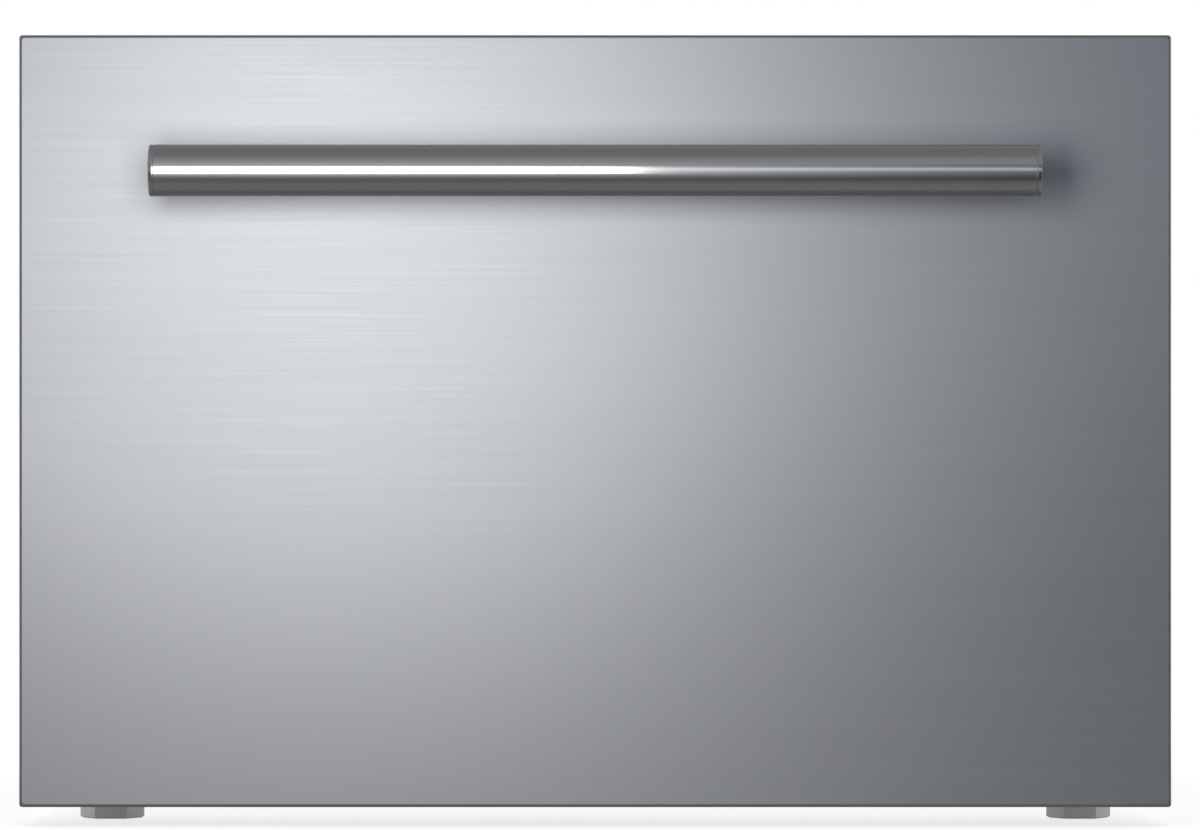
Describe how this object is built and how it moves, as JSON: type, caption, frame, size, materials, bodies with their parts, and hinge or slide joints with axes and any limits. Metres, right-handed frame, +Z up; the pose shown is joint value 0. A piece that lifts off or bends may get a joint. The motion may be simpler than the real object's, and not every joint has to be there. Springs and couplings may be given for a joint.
{
  "type": "refrigerator drawer",
  "caption": "Built-in refrigerator drawer with a brushed steel front, a straight bar handle, an insulated cabinet, telescopic slides and a sealed cooling unit.",
  "frame": {"origin": "centre of the footprint on the floor, under the middle of the whole box of the appliance", "axes": "+Z up, the drawer front faces -Y and opens towards -Y, X across; left is -X"},
  "size_m": [0.6, 0.6604, 0.412],
  "materials": {
    "stainless": "horizontally brushed satin",
    "foam": "rigid foam, unseen",
    "white_plastic": "smooth, half gloss",
    "zinc_steel": "zinc plated, satin",
    "magnet": "sintered, dull",
    "grey_rubber": "soft grey, dull",
    "ball_steel": "ground and polished",
    "black_plastic": "fine grain",
    "grey_plastic": "fine grain",
    "grey_steel": "satin coat",
    "fin_aluminium": "bare",
    "black_enamel": "black coat, half gloss",
    "black_rubber": "dull",
    "copper": "bare copper",
    "clear_plastic": "clear, lightly frosted",
    "board": "lacquered board"
  },
  "bodies": {
    "cabinet": {"outer_wrapper": "grey_steel", "front_frame": "stainless", "rear_panel": "zinc_steel", "base_pan": "zinc_steel", "cabinet_foam": "foam", "inner_liner": "white_plastic", "engine_bulkhead": "zinc_steel", "evaporator_cover": "white_plastic", "evaporator": "fin_aluminium", "evaporator_fan_motor": "black_plastic", "drain_tube": "grey_plastic", "drip_tray": "black_plastic", "compressor": "black_enamel", "compressor_grommets": "black_rubber", "terminal_cover": "black_plastic", "condenser": "black_enamel", "fan_shroud": "black_plastic", "condenser_fan_motor": "black_plastic", "refrigerant_tubes": "copper", "filter_drier": "copper", "power_inlet": "black_plastic", "mounting_brackets": "zinc_steel", "slide_outer_left": "zinc_steel", "slide_outer_right": "zinc_steel", "slide_screws": "zinc_steel", "lamp_lens": "clear_plastic", "control_housing": "grey_plastic", "control_window": "clear_plastic", "control_board": "board", "door_sensor": "black_plastic"},
    "drawer": {"front_skin": "stainless", "front_foam": "foam", "front_panel": "white_plastic", "front_plates": "zinc_steel", "door_magnet": "magnet", "gasket": "grey_rubber", "handle_bar": "stainless", "handle_caps": "stainless", "handle_posts": "stainless", "drawer_screws": "zinc_steel", "side_bracket_left": "zinc_steel", "side_bracket_right": "zinc_steel", "slide_inner_left": "zinc_steel", "slide_inner_right": "zinc_steel", "bin": "white_plastic"},
    "middle_left": {"slide_middle_left": "zinc_steel"},
    "middle_right": {"slide_middle_right": "zinc_steel"},
    "cage_outer_left": {"cage_outer_left": "ball_steel"},
    "cage_outer_right": {"cage_outer_right": "ball_steel"},
    "cage_inner_left": {"cage_inner_left": "ball_steel"},
    "cage_inner_right": {"cage_inner_right": "ball_steel"},
    "evaporator_fan": {"evaporator_fan": "black_plastic"},
    "condenser_fan": {"condenser_fan": "black_plastic"},
    "foot_front_left": {"foot_front_left": "white_plastic"},
    "foot_front_right": {"foot_front_right": "white_plastic"},
    "foot_rear_left": {"foot_rear_left": "white_plastic"},
    "foot_rear_right": {"foot_rear_right": "white_plastic"},
    "button_colder": {"button_colder": "grey_plastic"},
    "button_warmer": {"button_warmer": "grey_plastic"},
    "button_light": {"button_light": "grey_plastic"}
  },
  "joints": [
    {"name": "drawer_slide", "type": "slide", "parent": "cabinet", "child": "drawer", "axis": [0, -1, 0], "range_m": [0, 0.38]},
    {"name": "middle_left_slide", "type": "slide", "parent": "cabinet", "child": "middle_left", "axis": [0, -1, 0], "range_m": [0, 0.19]},
    {"name": "cage_outer_left_slide", "type": "slide", "parent": "cabinet", "child": "cage_outer_left", "axis": [0, -1, 0], "range_m": [0, 0.095]},
    {"name": "cage_inner_left_slide", "type": "slide", "parent": "cabinet", "child": "cage_inner_left", "axis": [0, -1, 0], "range_m": [0, 0.285]},
    {"name": "middle_right_slide", "type": "slide", "parent": "cabinet", "child": "middle_right", "axis": [0, -1, 0], "range_m": [0, 0.19]},
    {"name": "cage_outer_right_slide", "type": "slide", "parent": "cabinet", "child": "cage_outer_right", "axis": [0, -1, 0], "range_m": [0, 0.095]},
    {"name": "cage_inner_right_slide", "type": "slide", "parent": "cabinet", "child": "cage_inner_right", "axis": [0, -1, 0], "range_m": [0, 0.285]},
    {"name": "evaporator_fan_spin", "type": "hinge", "parent": "cabinet", "child": "evaporator_fan", "pos_m": [-0.165, 0.23975, 0.292], "axis": [0, 1, 0], "continuous": true},
    {"name": "condenser_fan_spin", "type": "hinge", "parent": "cabinet", "child": "condenser_fan", "pos_m": [0.176, 0.23525, 0.096], "axis": [1, 0, 0], "continuous": true},
    {"name": "foot_front_left_turn", "type": "hinge", "parent": "cabinet", "child": "foot_front_left", "pos_m": [-0.257, -0.17475, 0], "axis": [0, 0, 1], "range_deg": [-360, 360]},
    {"name": "foot_front_right_turn", "type": "hinge", "parent": "cabinet", "child": "foot_front_right", "pos_m": [0.257, -0.17475, 0], "axis": [0, 0, 1], "range_deg": [-360, 360]},
    {"name": "foot_rear_left_turn", "type": "hinge", "parent": "cabinet", "child": "foot_rear_left", "pos_m": [-0.257, 0.29025, 0], "axis": [0, 0, 1], "range_deg": [-360, 360]},
    {"name": "foot_rear_right_turn", "type": "hinge", "parent": "cabinet", "child": "foot_rear_right", "pos_m": [0.257, 0.29025, 0], "axis": [0, 0, 1], "range_deg": [-360, 360]},
    {"name": "button_colder_press", "type": "slide", "parent": "cabinet", "child": "button_colder", "axis": [0, 1, 0], "range_m": [0, 0.001], "stiffness_N_per_m": 600},
    {"name": "button_warmer_press", "type": "slide", "parent": "cabinet", "child": "button_warmer", "axis": [0, 1, 0], "range_m": [0, 0.001], "stiffness_N_per_m": 600},
    {"name": "button_light_press", "type": "slide", "parent": "cabinet", "child": "button_light", "axis": [0, 1, 0], "range_m": [0, 0.001], "stiffness_N_per_m": 600}
  ],
  "couplings": [
    {"joint": "middle_left_slide", "follows": "drawer_slide", "ratio": 0.5},
    {"joint": "cage_outer_left_slide", "follows": "drawer_slide", "ratio": 0.25},
    {"joint": "cage_inner_left_slide", "follows": "drawer_slide", "ratio": 0.75},
    {"joint": "middle_right_slide", "follows": "drawer_slide", "ratio": 0.5},
    {"joint": "cage_outer_right_slide", "follows": "drawer_slide", "ratio": 0.25},
    {"joint": "cage_inner_right_slide", "follows": "drawer_slide", "ratio": 0.75}
  ]
}
